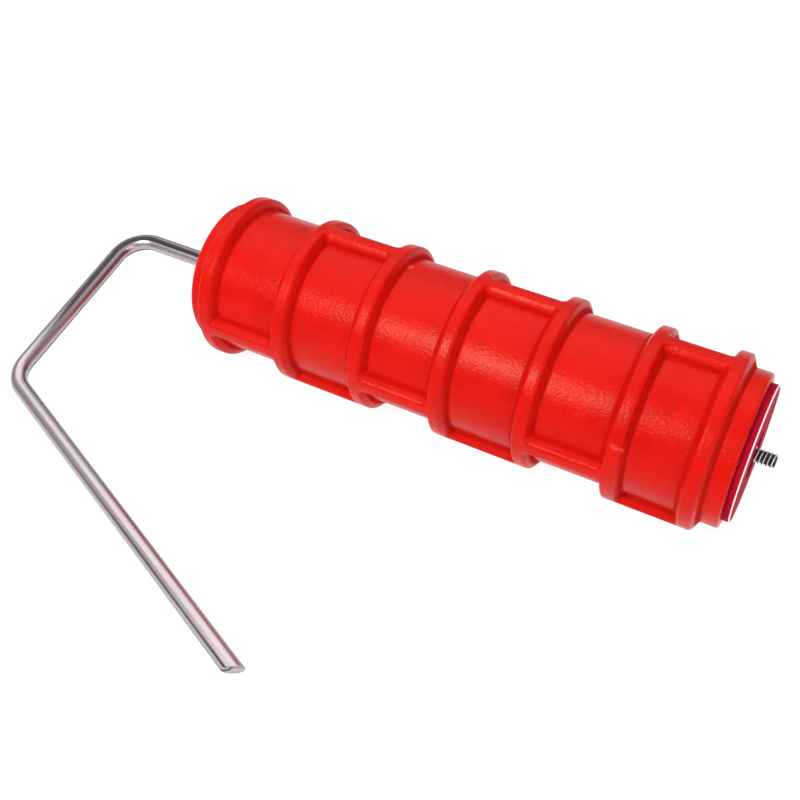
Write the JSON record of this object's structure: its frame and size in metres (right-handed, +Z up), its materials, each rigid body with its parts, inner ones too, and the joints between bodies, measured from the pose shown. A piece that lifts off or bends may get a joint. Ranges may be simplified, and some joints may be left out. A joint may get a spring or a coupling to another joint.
{
  "type": "textured pattern roller",
  "caption": "Hand roller with a ribbed rubber sleeve that prints a block pattern, free to spin on a bent steel wire frame with a bare end for a handle.",
  "frame": {"origin": "centre of the bounding box on the ground plane that the ring ribs and the wire's free end stand on", "axes": "+X along the roller's axle towards its threaded end, -Y towards the wire's free end, +Z up"},
  "size_m": [0.2982, 0.1894, 0.07],
  "materials": {
    "sleeve_rubber": "satin",
    "core": "matte",
    "cap": "satin",
    "nylon": "satin",
    "wire": "bright drawn",
    "hardware": "zinc plated"
  },
  "bodies": {
    "frame": {"frame_rod": "wire", "stop_collar": "hardware", "washer_left": "hardware", "washer_right": "hardware", "axle_nut": "hardware", "nut_insert": "nylon"},
    "roller": {"pattern_sleeve": "sleeve_rubber", "core_tube": "core", "end_cap_left": "cap", "end_cap_right": "cap", "bush_left": "nylon", "bush_right": "nylon"}
  },
  "joints": [
    {"name": "roller_spin", "type": "hinge", "parent": "frame", "child": "roller", "pos_m": [0.02295, 0.05975, 0.035], "axis": [1, 0, 0], "continuous": true}
  ]
}
